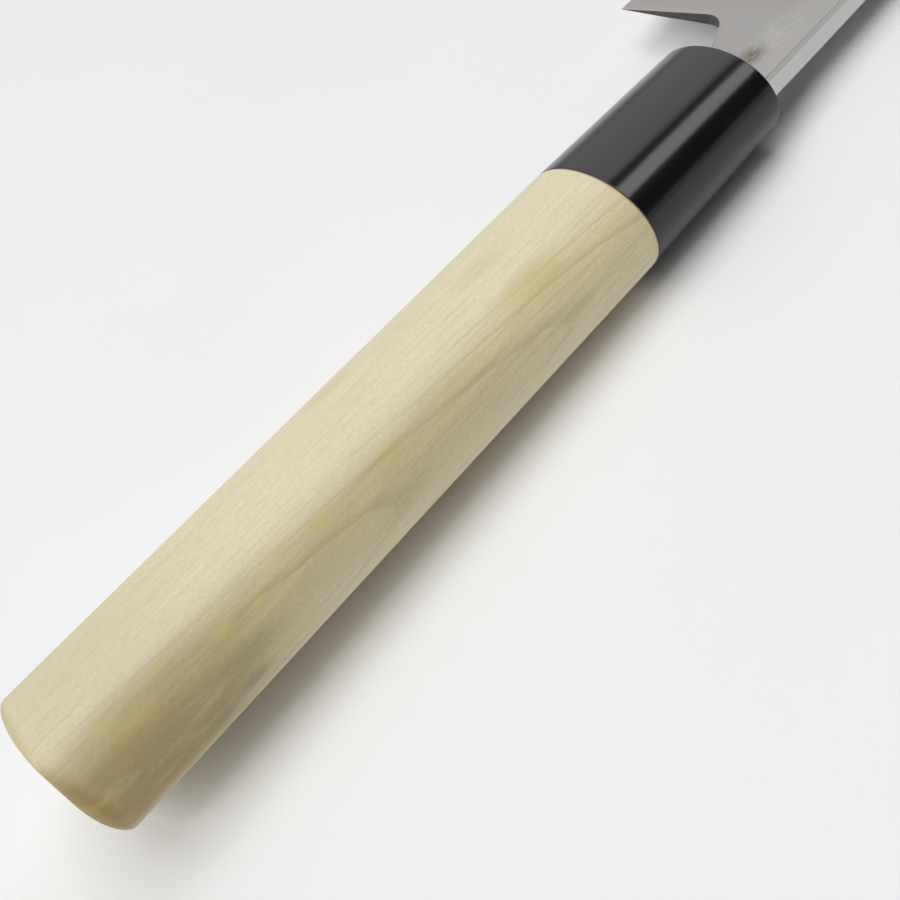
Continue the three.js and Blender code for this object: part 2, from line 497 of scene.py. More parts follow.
def make_heel() -> NodeTree:
    """The rough face of the heel, which looks back along the handle in front of the mouth, and its scale.

    Returns:
        The group, with the outputs Heel, a mask, and Speck, the share of bare metal in the scale.
    """
    effect = Effect("heel", {"Mouth": 0.0, "Run": 2.0, "Wave": (0.9, 0.9, 0.9)}, ("Heel", "Speck"))
    graph, given = effect.graph, effect.given
    place = graph.place()
    along, _, _ = graph.split(place)
    back, _, _ = graph.split(graph.node("NewGeometry").outputs["True Normal"])
    past = graph.between(along, given["Mouth"], graph.math("ADD", given["Mouth"], given["Run"]))
    graph.feed(effect.result["Heel"], graph.times(graph.between(back, -0.35, -0.75), past))
    speck = graph.noise(place, given["Wave"], detail=3.0)
    graph.feed(effect.result["Speck"], graph.between(speck, 0.45, 0.8, 0.0, 0.12))
    return effect.tree


@dataclass(frozen=True)
class Effects:
    """The shared node groups."""

    spot: NodeTree = field(default_factory=make_spot)
    scratches: NodeTree = field(default_factory=make_scratches)
    mottle: NodeTree = field(default_factory=make_mottle)
    heel: NodeTree = field(default_factory=make_heel)


def new_material(name: str) -> tuple[Material, Graph, bpy.types.Node]:
    """Makes a material with its shader.

    Args:
        name: The material's name.

    Returns:
        The material, its graph and its Principled shader.
    """
    material = bpy.data.materials.new(name)
    material.use_nodes = True
    graph = Graph(material.node_tree)
    return material, graph, material.node_tree.nodes["Principled BSDF"]


@dataclass(frozen=True)
class Mark:
    """A stain or patch on the handle: where it lies, how far it reaches and how strong it is.

    Around is the angle of the surface's normal from the ura side towards the spine, in degrees.
    """

    along: float
    around: float
    length: float
    width: float
    strength: float


OLIVE_PATCHES = (
    Mark(8.0, 36.0, 3.0, 1.5, 0.75),
    Mark(12.0, 46.0, 5.0, 1.8, 0.40),
    Mark(18.0, 34.0, 2.6, 1.0, 0.60),
    Mark(26.0, 46.0, 3.2, 1.4, 0.95),
    Mark(31.5, 50.0, 2.8, 1.1, 0.85),
    Mark(37.5, 38.0, 2.4, 0.9, 0.65),
    Mark(44.0, 43.0, 3.4, 1.4, 0.95),
    Mark(57.0, 46.0, 4.0, 1.6, 0.80),
    Mark(70.0, 42.0, 5.0, 1.4, 0.50),
    Mark(89.0, 32.0, 9.0, 3.4, 0.75),
    Mark(92.0, 42.0, 7.0, 2.4, 0.55),
    Mark(86.0, 2.0, 8.0, 2.8, 0.35),
    Mark(60.0, -18.0, 8.0, 2.6, 0.35),
)
GREY_SMUDGES = (
    Mark(19.0, 106.0, 4.0, 1.5, 0.80),
    Mark(25.0, 100.0, 4.4, 1.6, 0.95),
    Mark(13.0, 70.0, 8.0, 2.0, 0.30),
    Mark(27.0, 72.0, 9.0, 2.2, 0.40),
)
DARK_LINES = (
    Mark(18.0, 37.0, 8.0, 0.50, 0.30),
    Mark(31.0, 48.0, 9.0, 0.50, 0.25),
    Mark(41.0, 54.0, 7.0, 0.45, 0.25),
    Mark(56.0, 44.0, 14.0, 0.45, 0.30),
    Mark(72.0, 54.0, 14.0, 0.45, 0.30),
)
BUTT_STAINS = (
    Mark(1.6, 66.0, 2.0, 0.9, 0.60),
    Mark(1.8, 78.0, 2.2, 1.3, 0.70),
    Mark(2.6, 92.0, 2.4, 1.0, 0.55),
)


@dataclass(frozen=True)
class WoodFinish:
    """Pale straight-grained wood with a darker heart on the spine side.

    Waves and widths are millimetres. A run says where a change starts and where it ends, and a step or a
    tone also what it gives there. A pair of shares says what the heart or the butt adds to the usual share.
    """

    pale: Colour = (0.775, 0.700, 0.492)
    butt_pale: Colour = (0.690, 0.612, 0.425)
    heart: Colour = (0.560, 0.475, 0.265)
    front_heart: Colour = (0.680, 0.585, 0.350)
    butt_heart: Colour = (0.385, 0.300, 0.128)
    late: Colour = (0.360, 0.290, 0.150)
    yellow: Colour = (0.740, 0.630, 0.345)
    olive: Colour = (0.560, 0.455, 0.170)
    grey: Colour = (0.270, 0.235, 0.160)
    stain: Colour = (0.300, 0.165, 0.050)
    # Tints of the butt's round: the end grain's own darker tone, partly painted shade against the key
    # light.
    pale_end_and_shade: Colour = (0.760, 0.730, 0.640)
    heart_end_and_shade: Colour = (0.700, 0.630, 0.480)
    rim: Colour = (0.170, 0.072, 0.018)
    pore: Colour = (0.430, 0.350, 0.200)
    fibre_wave: Point = (16.0, 0.32, 0.32)
    speck_wave: Point = (0.60, 0.20, 0.20)
    pore_wave: Point = (2.2, 0.13, 0.13)
    slow_wave: Point = (60.0, 5.0, 5.0)
    patch_wave: Point = (11.0, 2.6, 2.6)
    cloud_wave: Point = (9.0, 2.4, 2.4)
    line_wave: Point = (75.0, 0.95, 0.95)
    bend_wave: Point = (30.0, 6.0, 6.0)
    mark_grain: Point = (6.0, 0.5, 0.5)
    pore_run: Pair = (0.58, 0.70)
    patch_run: Pair = (0.46, 0.72)
    cloud_run: Pair = (0.42, 0.66)
    line_run: Pair = (0.045, 0.005)
    heart_start: float = 8.4
    heart_slope: float = -0.010
    heart_run: float = 3.2
    slow_wander: float = 3.4
    fibre_wander: float = 2.0
    butt_wander: float = -0.6
    wander_run: Pair = (14.0, 2.0)
    slow_shift: float = 20.0
    butt_run: Pair = (52.0, 20.0)
    front_run: Pair = (60.0, 110.0)
    under_step: Step = (-3.0, 4.0, 0.2, 1.0)
    under_butt_step: Step = (-6.5, -2.0, 0.3, 1.0)
    patch_share: float = 0.28
    dirt_share: Pair = (0.22, 0.05)
    ring_share: Pair = (0.36, 0.05)
    line_share: Pair = (0.08, 0.10)
    pore_share: float = 0.18
    rim_share: float = 0.95
    fibre_tone: Step = (0.30, 0.72, 0.965, 1.02)
    speck_tone: Step = (0.3, 0.7, 0.942, 1.036)
    ragged: float = 1.2
    line_ragged: float = 0.5
    mark_streak: float = 0.5
    end_run: Pair = (8.0, 4.0)
    end_facing: Pair = (0.0, -0.70)
    rim_width: float = 0.44
    rim_clear: float = 0.06
    pith: Pair = (15.8, -2.8)
    pith_slope: float = -0.0375
    bend: float = 1.1
    ring_spacing: float = 1.4
    ring_start: float = 0.66
    first_year: float = 5.0
    late_rise: Pair = (0.66, 0.95)
    late_fall: Step = (0.95, 1.0, 1.0, 0.0)
    late_strength: Pair = (0.5, 0.6)
    roughness: Step = (0.3, 0.7, 0.52, 0.68)
    fibre_relief: float = 0.6
    pore_relief: float = 0.5
    ring_relief: float = 0.15
    relief_depth: float = 0.010
    least_spread: float = 0.72
    ior: float = 1.45

    def material(self, handle: "Handle", effects: Effects) -> Material:
        """Builds the material.

        Args:
            handle: The handle, for the places of its marks and of its joint.
            effects: The shared groups.

        Returns:
            The material.
        """
        material, graph, shader = new_material(Slot.WOOD.value)
        place = self.laid_out(graph, handle)
        along, across, up = graph.split(place)
        fibre = graph.noise(place, self.fibre_wave, detail=3.0, rough=0.6)
        speck = graph.noise(place, self.speck_wave)
        pores = graph.between(graph.noise(place, self.pore_wave, detail=1.0), *self.pore_run)
        slow = graph.noise(place, self.slow_wave, detail=3.0, rough=0.6)
        patch = graph.between(graph.noise(place, self.patch_wave, detail=3.0, rough=0.6), *self.patch_run)
        cloud = graph.between(graph.noise(place, self.cloud_wave, detail=4.0, rough=0.65), *self.cloud_run)
        lines = graph.less(graph.noise(place, self.line_wave), 0.5)
        lines = graph.between(graph.math("ABSOLUTE", lines), *self.line_run)

        inward = graph.line(along, -self.heart_slope, graph.times(across, -1.0))
        wander = graph.times(graph.less(slow, 0.5), self.slow_wander)
        wander = graph.line(graph.less(fibre, 0.5), self.fibre_wander, wander)
        wander = graph.line(graph.between(along, *self.wander_run), self.butt_wander, wander)
        heart_run = (self.heart_start - self.heart_run, self.heart_start + self.heart_run)
        heart = graph.between(graph.math("ADD", inward, wander), *heart_run)
        uneven = graph.line(slow, self.slow_shift, along)
        near_butt = graph.between(uneven, *self.butt_run)
        near_front = graph.between(uneven, *self.front_run)
        under = graph.between(up, *self.under_step)
        under_butt = graph.between(up, *self.under_butt_step)
        heart = graph.times(heart, graph.line(near_butt, graph.less(under_butt, under), under))

        rings, late = self.rings(graph, place)
        core = graph.mix(near_butt, graph.mix(near_front, self.heart, self.front_heart), self.butt_heart)
        colour = graph.mix(heart, graph.mix(near_butt, self.pale, self.butt_pale), core)
        colour = graph.mix(graph.times(patch, self.patch_share), colour, self.yellow)
        dirt = graph.times(graph.times(cloud, heart), graph.line(near_butt, *self.dirt_share))
        colour = graph.mix(dirt, colour, self.grey)
        colour = graph.mix(graph.times(late, graph.line(heart, *self.ring_share)), colour, self.late)
        colour = graph.mix(graph.times(lines, graph.line(heart, *self.line_share)), colour, self.late)
        tone = graph.times(graph.between(fibre, *self.fibre_tone), graph.between(speck, *self.speck_tone))
        colour = graph.mix(1.0, colour, graph.grey(tone), "MULTIPLY")
        for marks, tint, ragged in (
            (OLIVE_PATCHES, self.olive, self.ragged),
            (GREY_SMUDGES, self.grey, self.ragged),
            (DARK_LINES, self.grey, self.line_ragged),
            (BUTT_STAINS, self.stain, self.ragged),
        ):
            for mark in marks:
                mask = self.mark(graph, handle, effects, mark, ragged)
                colour = graph.mix(graph.times(mask, mark.strength), colour, tint)
        colour = graph.mix(graph.times(pores, self.pore_share), colour, self.pore)
        # Near the butt, surfaces that face back along the handle are darkened. This is partly the end
        # grain's own tone and partly painted shade that evens out the key light on the butt's round.
        facing, _, _ = graph.normal()
        end = graph.times(facing, graph.between(along, *self.end_run))
        end_grain_and_shade = graph.mix(heart, self.pale_end_and_shade, self.heart_end_and_shade)
        colour = graph.mix(graph.between(end, *self.end_facing), colour, end_grain_and_shade, "MULTIPLY")
        joint = graph.between(along, handle.joint_x - self.rim_width, handle.joint_x - self.rim_clear)
        colour = graph.mix(graph.times(joint, self.rim_share), colour, self.rim)

        rough = graph.between(fibre, *self.roughness)
        relief = graph.less(graph.times(fibre, self.fibre_relief), graph.times(pores, self.pore_relief))
        relief = graph.less(relief, graph.times(rings, self.ring_relief))
        normal = graph.bump(relief, self.relief_depth)
        graph.set(shader, Base_Color=colour, Roughness=rough, Normal=normal, IOR=self.ior)
        return material

    def laid_out(self, graph: Graph, handle: "Handle") -> NodeSocket:
        """The point on the surface, moved out to the sides of the handle where the butt is rounded.

        Args:
            graph: The material's graph.
            handle: The handle, for its oval and its rounding.

        Returns:
            The point.
        """
        place = graph.place()
        along, _, _ = graph.split(place)
        flat = graph.vector("DIVIDE", graph.vector("MULTIPLY", place, ACROSS), (1.0, *handle.half(0.0)))
        reach = graph.math("MAXIMUM", graph.vector("LENGTH", flat), self.least_spread)
        share = graph.between(along, 2.0 * handle.round_depth, handle.round_depth)
        grow = graph.line(graph.less(graph.math("DIVIDE", 1.0, reach), 1.0), share, 1.0)
        factor = graph.node("CombineXYZ", {0: 1.0, 1: grow, 2: grow}).outputs[0]
        return graph.vector("MULTIPLY", place, factor)

    def rings(self, graph: Graph, place: NodeSocket) -> tuple[NodeSocket, NodeSocket]:
        """Growth rings about a tilted pith.

        Args:
            graph: The material's graph.
            place: The point on the surface.

        Returns:
            The share of the way through a ring, and the late wood's mask.
        """
        along, _, _ = graph.split(place)
        flat = graph.vector("MULTIPLY", place, ACROSS)
        far = graph.vector("LENGTH", graph.vector("SUBTRACT", flat, (0.0, *self.pith)))
        bend = graph.noise(place, self.bend_wave, detail=3.0)
        depth = graph.line(bend, self.bend, graph.line(along, self.pith_slope, far))
        count = graph.line(depth, 1 / self.ring_spacing, self.ring_start)
        share = graph.math("FRACT", count)
        year = graph.math("ADD", graph.math("FLOOR", count), self.first_year)
        year = graph.node("TexWhiteNoise", {"W": year}, noise_dimensions="1D").outputs[0]
        late = graph.times(graph.between(share, *self.late_rise), graph.between(share, *self.late_fall))
        return share, graph.times(late, graph.line(year, *self.late_strength))

    def mark(
        self, graph: Graph, handle: "Handle", effects: Effects, mark: Mark, ragged: float,
    ) -> NodeSocket:
        """The mask of one mark on the handle.

        Args:
            graph: The material's graph.
            handle: The handle, for the place of the mark on its surface.
            effects: The shared groups.
            mark: The mark.
            ragged: How far its edge wanders, as a share of its reach.

        Returns:
            The mask.
        """
        spot = graph.group(
            effects.spot,
            Middle=handle.surface_point(mark.along, mark.around),
            Reach=(mark.length, mark.width, mark.width),
            Grain=self.mark_grain,
            Ragged=ragged,
            Streak=self.mark_streak,
        )
        return spot["Mask"]


@dataclass(frozen=True)
class GlossFinish:
    """Polished black with faint polishing marks along it."""

    black: Colour = (0.0078, 0.0074, 0.0080)
    # Here this colour is only the worn polish along the polishing marks.
    worn_and_painted_reflection: Colour = (0.016, 0.015, 0.016)
    polish_wave: Point = (22.0, 0.35, 0.35)
    bold_wave: Point = (5.0, 0.25, 0.25)
    bold_share: float = 0.70
    cloud_wave: Point = (14.0, 5.0, 5.0)
    worn_share: float = 0.35
    roughness: Pair = (0.03, 0.12)
    mark_roughness: float = 0.06
    mark_depth: float = 0.006
    ior: float = 1.5

    def material(self, effects: Effects) -> Material:
        """Builds the material.

        Args:
            effects: The shared groups.

        Returns:
            The material.
        """
        material, graph, shader = new_material(Slot.BLACK.value)
        marks = graph.group(
            effects.scratches, Wave=self.polish_wave, Bold_Wave=self.bold_wave, Bold_Share=self.bold_share,
        )
        cloud = graph.group(effects.mottle, Wave=self.cloud_wave)["Cloud"]
        colour = graph.mix(graph.times(marks["Bold"], self.worn_share), self.black, self.worn_and_painted_reflection)
        rough = graph.line(marks["Fine"], self.mark_roughness, graph.line(cloud, *self.roughness))
        normal = graph.bump(marks["Fine"], self.mark_depth)
        graph.set(shader, Base_Color=colour, Roughness=rough, Normal=normal, IOR=self.ior)
        return material


@dataclass(frozen=True)
class ResinFinish:
    """Set brown resin, uneven and a little cloudy."""

    dark: Colour = (0.075, 0.042, 0.020)
    light: Colour = (0.210, 0.125, 0.060)
    cloud_wave: Point = (1.6, 1.6, 1.6)
    roughness: Pair = (0.2, 0.36)
    cloud_depth: float = 0.03

    def material(self, effects: Effects) -> Material:
        """Builds the material.

        Args:
            effects: The shared groups.

        Returns:
            The material.
        """
        material, graph, shader = new_material(Slot.RESIN.value)
        cloud = graph.group(effects.mottle, Wave=self.cloud_wave)["Cloud"]
        colour = graph.mix(cloud, self.dark, self.light)
        rough = graph.line(cloud, *self.roughness)
        graph.set(shader, Base_Color=colour, Roughness=rough, Normal=graph.bump(cloud, self.cloud_depth))
        return material


@dataclass(frozen=True)
class SteelFinish:
    """Hard steel: satin ura with a stoned rim along the spine, a stain at the mouth, scale on the heel."""

    bright: Colour = (0.445, 0.432, 0.415)
    dull: Colour = (0.366, 0.370, 0.358)
    warm: Colour = (0.408, 0.362, 0.358)
    side: Colour = (0.470, 0.460, 0.450)
    scale: Colour = SCALE
    stain: Colour = (0.130, 0.098, 0.058)
    # Colour of the rounded spine corner: partly wear, partly a painted reflection that dims the corner's
    # highlight to a soft darker line.
    worn_and_painted_reflection: Colour = (0.390, 0.384, 0.374)
    haze: Colour = (0.520, 0.505, 0.480)
    stone_wave: Point = (24.0, 0.22, 0.6)
    bold_wave: Point = (2.6, 0.30, 1.0)
    bold_share: float = 0.50
    bold_turn_deg: float = 24.0
    cloud_wave: Point = (11.0, 7.0, 7.0)
    wobble_wave: Point = (9.0, 3.0, 3.0)
    wobble: float = 6.0
    rim_run: Pair = (3.2, -0.6)
    rim_share: float = 0.30
    stoned_share: float = 0.55
    haze_at: Point = (153.6, -2.8, 2.15)
    haze_reach: Point = (9.5, 4.6, 3.0)
    haze_grain: Point = (2.0, 0.8, 0.8)
    haze_ragged: float = 1.0
    haze_streak: float = 0.2
    haze_share: Pair = (0.65, 0.10)
    corner_run: Pair = (0.98, 0.88)
    side_corner_run: Pair = (0.10, 0.35)
    side_run: Pair = (0.4, 0.1)
    stain_at: Point = (148.0, -2.0, 2.15)
    stain_reach: Point = (4.4, 3.4, 2.0)
    stain_grain: Point = (1.6, 0.6, 0.6)
    stain_ragged: float = 1.4
    stain_streak: float = 0.5
    stain_share: float = 0.95
    scale_share: float = 0.9
    roughness: Pair = (0.10, 0.29)
    cloud_roughness: float = 0.04
    corner_roughness: float = 0.35
    scale_roughness: float = 0.25
    corner_metallic: Pair = (-0.8, 1.0)
    mark_depth: float = 0.003

    def material(self, blade: "Blade", effects: Effects) -> Material:
        """Builds the material.

        Args:
            blade: The blade, for the places of its rim and its heel.
            effects: The shared groups.

        Returns:
            The material.
        """
        material, graph, shader = new_material(Slot.STEEL.value)
        place = graph.place()
        _, across, _ = graph.split(place)
        marks = graph.group(
            effects.scratches, Wave=self.stone_wave, Bold_Wave=self.bold_wave, Bold_Share=self.bold_share,
            Bold_Turn=math.radians(self.bold_turn_deg),
        )
        cloud = graph.group(effects.mottle, Wave=self.cloud_wave)["Cloud"]
        wobble = graph.less(graph.noise(place, self.wobble_wave, detail=3.0), 0.5)
        edge = graph.line(wobble, self.wobble, graph.less(across, blade.plan.spine_y))
        rim = graph.between(edge, *(blade.plan.rim_at_spine + past for past in self.rim_run))
        colour = graph.mix(cloud, self.dull, self.warm)
        colour = graph.mix(graph.times(rim, self.rim_share), colour, self.bright)
        stoned = graph.times(graph.times(marks["Bold"], rim), self.stoned_share)
        colour = graph.mix(stoned, colour, self.bright)
        haze = graph.group(
            effects.spot, Middle=self.haze_at, Reach=self.haze_reach, Grain=self.haze_grain,
            Ragged=self.haze_ragged, Streak=self.haze_streak,
        )["Mask"]
        haze = graph.times(haze, graph.line(marks["Bold"], *self.haze_share))
        colour = graph.mix(haze, colour, self.haze)
        # Painted reflection on the rounded spine corner: a dull, less metallic grey dims its highlight to a
        # soft darker line. Part of it is wear.
        _, _, tilt = graph.normal()
        corner = graph.between(tilt, *self.corner_run)
        corner = graph.times(corner, graph.between(tilt, *self.side_corner_run))
        colour = graph.mix(corner, colour, self.worn_and_painted_reflection)
        colour = graph.mix(graph.between(tilt, *self.side_run), colour, self.side)
        stain = graph.group(
            effects.spot, Middle=self.stain_at, Reach=self.stain_reach, Grain=self.stain_grain,
            Ragged=self.stain_ragged, Streak=self.stain_streak,
        )["Mask"]
        colour = graph.mix(graph.times(stain, self.stain_share), colour, self.stain)
        rough_heel = graph.group(effects.heel, Mouth=blade.plan.mouth_x)
        heel = rough_heel["Heel"]
        scale = graph.mix(rough_heel["Speck"], self.scale, self.dull)
        colour = graph.mix(graph.times(heel, self.scale_share), colour, scale)
        rough = graph.line(cloud, self.cloud_roughness, graph.line(rim, *self.roughness))
        rough = graph.line(corner, self.corner_roughness, rough)
        rough = graph.line(heel, self.scale_roughness, rough)
        metallic = graph.line(corner, *self.corner_metallic)
        normal = graph.bump(marks["Fine"], self.mark_depth)
        graph.set(shader, Base_Color=colour, Roughness=rough, Metallic=metallic, Normal=normal)
        return material


@dataclass(frozen=True)
class IronFinish:
    """Soft iron: brushed flat and spine, hazy bevel, dark rough heel, scale on the tang."""

    bright: Colour = (0.660, 0.656, 0.640)
    dull: Colour = (0.470, 0.468, 0.460)
    haze: Colour = (0.400, 0.402, 0.400)
    scale: Colour = SCALE
    brush_wave: Point = (26.0, 0.25, 0.25)
    cloud_wave: Point = (3.0, 2.2, 2.2)
    cloud_share: float = 0.35
    tang_run: Pair = (-1.0, -3.0)
    scale_share: float = 0.9
    roughness: Pair = (0.10, 0.29)
    bevel_roughness: float = 0.14
    scale_roughness: float = 0.25
    mark_depth: float = 0.004

    def material(self, blade: "Blade", effects: Effects) -> Material:
        """Builds the material.

        Args:
            blade: The blade, for the places of its bevel and its heel.
            effects: The shared groups.

        Returns:
            The material.
        """
        material, graph, shader = new_material(Slot.IRON.value)
        along, across, _ = graph.split(graph.place())
        fine = graph.group(effects.scratches, Wave=self.brush_wave)["Fine"]
        cloud = graph.group(effects.mottle, Wave=self.cloud_wave)["Cloud"]
        haze = graph.mix(graph.times(cloud, self.cloud_share), self.haze, self.bright)
        bevel = blade.bevel_mask(graph, along, across)
        colour = graph.mix(bevel, graph.mix(fine, self.dull, self.bright), haze)
        rough_heel = graph.group(effects.heel, Mouth=blade.plan.mouth_x)
        tang = graph.between(along, *(blade.plan.mouth_x + past for past in self.tang_run))
        bare = graph.math("MAXIMUM", rough_heel["Heel"], tang)
        scale = graph.mix(rough_heel["Speck"], self.scale, self.dull)
        colour = graph.mix(graph.times(bare, self.scale_share), colour, scale)
        rough = graph.line(bevel, self.bevel_roughness, graph.line(fine, *self.roughness))
        rough = graph.line(bare, self.scale_roughness, rough)
        normal = graph.bump(fine, self.mark_depth)
        graph.set(shader, Base_Color=colour, Roughness=rough, Metallic=1.0, Normal=normal)
        return material


def oval(x: float, half_width: float, half_thickness: float, sides: int) -> np.ndarray:
    """An oval ring across the handle's axis.

    Args:
        x: Its place along the axis.
        half_width: Half its size along y.
        half_thickness: Half its size along z.
        sides: The count of points.

    Returns:
        The points, one a row.
    """
    angle = np.linspace(0.0, 2.0 * math.pi, sides, endpoint=False)
    return np.stack([np.full(sides, x), half_width * np.cos(angle), half_thickness * np.sin(angle)], axis=1)


def bar(name: str, ends: list[tuple[float, float, float, float, float]]) -> Object:
    """A bar of box sections, as a tool to join or cut with.

    Args:
        name: The object's name.
        ends: For each section its x, low y, high y, low z and high z.

    Returns:
        The object.
    """
    rings = []
    for x, low_y, high_y, low_z, high_z in ends:
        corners = [(low_y, low_z), (high_y, low_z), (high_y, high_z), (low_y, high_z)]
        rings.append(np.array([(x, y, z) for y, z in corners]))
    return lofted(name, rings)


def quarter(steps: int) -> list[Pair]:
    """The sine and cosine of even steps from no turn to a quarter turn."""
    return [(math.sin(angle), math.cos(angle)) for angle in np.linspace(0.0, math.pi / 2, steps + 1)]


def taper(one: Pair, two: Pair, share: float) -> np.ndarray:
    """A half width and half thickness a share of the way from one to two."""
    return np.array(one) * (1 - share) + np.array(two) * share


def across_at(x: float, outline: np.ndarray) -> np.ndarray:
    """The points of a (y, z) outline at a place along the axis."""
    return np.column_stack([np.full(len(outline), x), outline])


@dataclass
class Tang:
    """The taper that reaches back from the neck into the handle."""

    shoulder_x: float
    spine_y: float
    weld_z: float
    length: float = 88.0
    root_height: float = 7.8
    end_height: float = 4.2
    root_thickness: float = 2.5
    end_thickness: float = 1.8
    spine_step: float = 1.0
    overlap: float = 2.0
    weld_clear: float = 0.02

    def solid(self, name: str, room: float, reach: float) -> Object:
        """A bar of the tang's shape.

        Args:
            name: The object's name.
            room: How far it is grown on every side.
            reach: How far it goes past the shoulder.

        Returns:
            The object.
        """
        middle = self.spine_y + self.spine_step + self.root_height / 2
        ends = []
        for x in (self.shoulder_x - self.length - room, self.shoulder_x + reach):
            share = (self.shoulder_x - x) / self.length
            half = self.root_height / 2 + (self.end_height - self.root_height) / 2 * share + room
            thick = self.root_thickness + (self.end_thickness - self.root_thickness) * share
            top = self.weld_z - self.weld_clear
            ends.append((x, middle - half, middle + half, top - thick - room, top + room))
        return bar(name, ends)


@dataclass
class Handle:
    """The wooden handle with its round butt, its tenon and the slot for the tang.

    The butt's flat has its middle off the axis, nearer to the spine and to the ura side.
    """

    joint_x: float
    tenon_end_x: float
    mouth_x: float
    butt_half: Pair = (12.85, 10.1)
    flat_half: Pair = (1.0, 4.18)
    flat_middle: Pair = (-6.16, 4.03)
    round_depth: float = 3.2
    joint_round: float = 0.12
    tenon_inset: float = 2.7
    slot_room: float = FIT_GAP
    slot_past: float = 2.0
    sides: int = 192
    round_steps: int = 24
    body_steps: int = 60
    edge_steps: int = 4

    def half(self, x: float) -> np.ndarray:
        """Half width and half thickness of the handle at a place along it."""
        return taper(self.butt_half, JOINT_HALF, x / self.joint_x)

    def surface_point(self, along: float, around_deg: float) -> Point:
        """The point of the surface where its normal has an angle.

        Args:
            along: The place along the axis.
            around_deg: The normal's angle from +z towards -y.

        Returns:
            The point.
        """
        width, thickness = self.half(along)
        sine, cosine = math.sin(math.radians(around_deg)), math.cos(math.radians(around_deg))
        reach = math.hypot(width * sine, thickness * cosine)
        return along, -width * width * sine / reach, thickness * thickness * cosine / reach

    def build(self, tang: Tang) -> Object:
        """Makes the mesh.

        Args:
            tang: The tang, for its slot.

        Returns:
            The object.
        """
        rings = []
        for sine, cosine in quarter(self.round_steps):
            x = self.round_depth * (1 - cosine)
            half = np.array(self.flat_half) + (self.half(x) - self.flat_half) * sine
            middle = np.array((0.0, *self.flat_middle)) * (1 - sine)
            rings.append(oval(x, *half, self.sides) + middle)
        last = self.joint_x - self.joint_round
        for x in np.linspace(self.round_depth, last, self.body_steps + 1)[1:]:
            rings.append(oval(x, *self.half(x), self.sides))
        for sine, cosine in quarter(self.edge_steps)[1:]:
            x = last + self.joint_round * sine
            inset = self.joint_round * (1 - cosine)
            rings.append(oval(x, *(self.half(x) - inset), self.sides))
        for x in (self.joint_x, self.tenon_end_x):
            share = (x - self.joint_x) / (self.mouth_x - self.joint_x)
            half = taper(JOINT_HALF, MOUTH_HALF, share) - self.tenon_inset
            rings.append(oval(x, *half, self.sides))
        piece = lofted("wooden_handle", rings)
        reach = self.tenon_end_x - tang.shoulder_x + self.slot_past
        combine(piece, tang.solid("tang_slot", self.slot_room, reach), "DIFFERENCE")
        smooth(piece)
        return piece

    def dress(self, piece: Object, effects: Effects) -> None:
        """Gives the handle its finish in its slot and hides its node."""
        fit_out(piece, Node.HANDLE, WoodFinish().material(self, effects))


def round_box(low: np.ndarray, high: np.ndarray, radius: float, steps: int) -> np.ndarray:
    """A rectangle with round corners, across the handle's axis.

    Args:
        low: Its lowest y and z.
        high: Its highest y and z.
        radius: The corners' radius.
        steps: The count of steps in a corner.

    Returns:
        The (y, z) points.
    """
    points = []
    corners = ((high[0], high[1], 0), (low[0], high[1], 1), (low[0], low[1], 2), (high[0], low[1], 3))
    for y, z, turn in corners:
        middle_y = y - radius if turn in (0, 3) else y + radius
        middle_z = z - radius if turn in (0, 1) else z + radius
        for step in range(steps + 1):
            angle = (turn + step / steps) * math.pi / 2
            points.append((middle_y + radius * math.cos(angle), middle_z + radius * math.sin(angle)))
    return np.array(points)


@dataclass
class Ferrule:
    """The black collar over the tenon."""

    joint_x: float
    mouth_x: float
    wall: float = 2.4
    front_wall: float = 7.7
    joint_round: float = 0.1
    mouth_round: float = 0.3
    past: float = 2.0
    slot_radius: float = 0.6
    sides: int = 192
    body_steps: int = 24
    round_steps: int = 10
    corner_steps: int = 6

    def half(self, x: float) -> np.ndarray:
        """Half width and half thickness of the outside at a place along it."""
        share = (x - self.joint_x) / (self.mouth_x - self.joint_x)
        return taper(JOINT_HALF, MOUTH_HALF, share)

    def build(self, slot_low: np.ndarray, slot_high: np.ndarray) -> Object:
        """Makes the mesh.

        Args:
            slot_low: The mouth slot's lowest y and z.
            slot_high: Its highest y and z.

        Returns:
            The object.
        """
        rings = []
        for sine, cosine in quarter(self.round_steps):
            x = self.joint_x + self.joint_round * (1 - cosine)
            inset = self.joint_round * (1 - sine)
            rings.append(oval(x, *(self.half(x) - inset), self.sides))
        first, last = self.joint_x + self.joint_round, self.mouth_x - self.mouth_round
        for x in np.linspace(first, last, self.body_steps + 1)[1:]:
            rings.append(oval(x, *self.half(x), self.sides))
        for sine, cosine in quarter(self.round_steps)[1:]:
            x = self.mouth_x - self.mouth_round * (1 - sine)
            inset = self.mouth_round * (1 - cosine)
            rings.append(oval(x, *(self.half(x) - inset), self.sides))
        piece = lofted("black_ferrule", rings)
        ends = (self.joint_x - self.past, self.mouth_x - self.front_wall)
        socket = [oval(x, *(self.half(x) - self.wall), self.sides) for x in ends]
        combine(piece, lofted("socket", socket), "DIFFERENCE")
        outline = round_box(slot_low, slot_high, self.slot_radius, self.corner_steps)
        ends = (self.joint_x + self.past, self.mouth_x + self.past)
        combine(piece, lofted("mouth_slot", [across_at(x, outline) for x in ends]), "DIFFERENCE")
        smooth(piece)
        return piece

    def dress(self, piece: Object, effects: Effects) -> None:
        """Gives the ferrule its finish in its slot and hides its node."""
        fit_out(piece, Node.FERRULE, GlossFinish().material(effects))


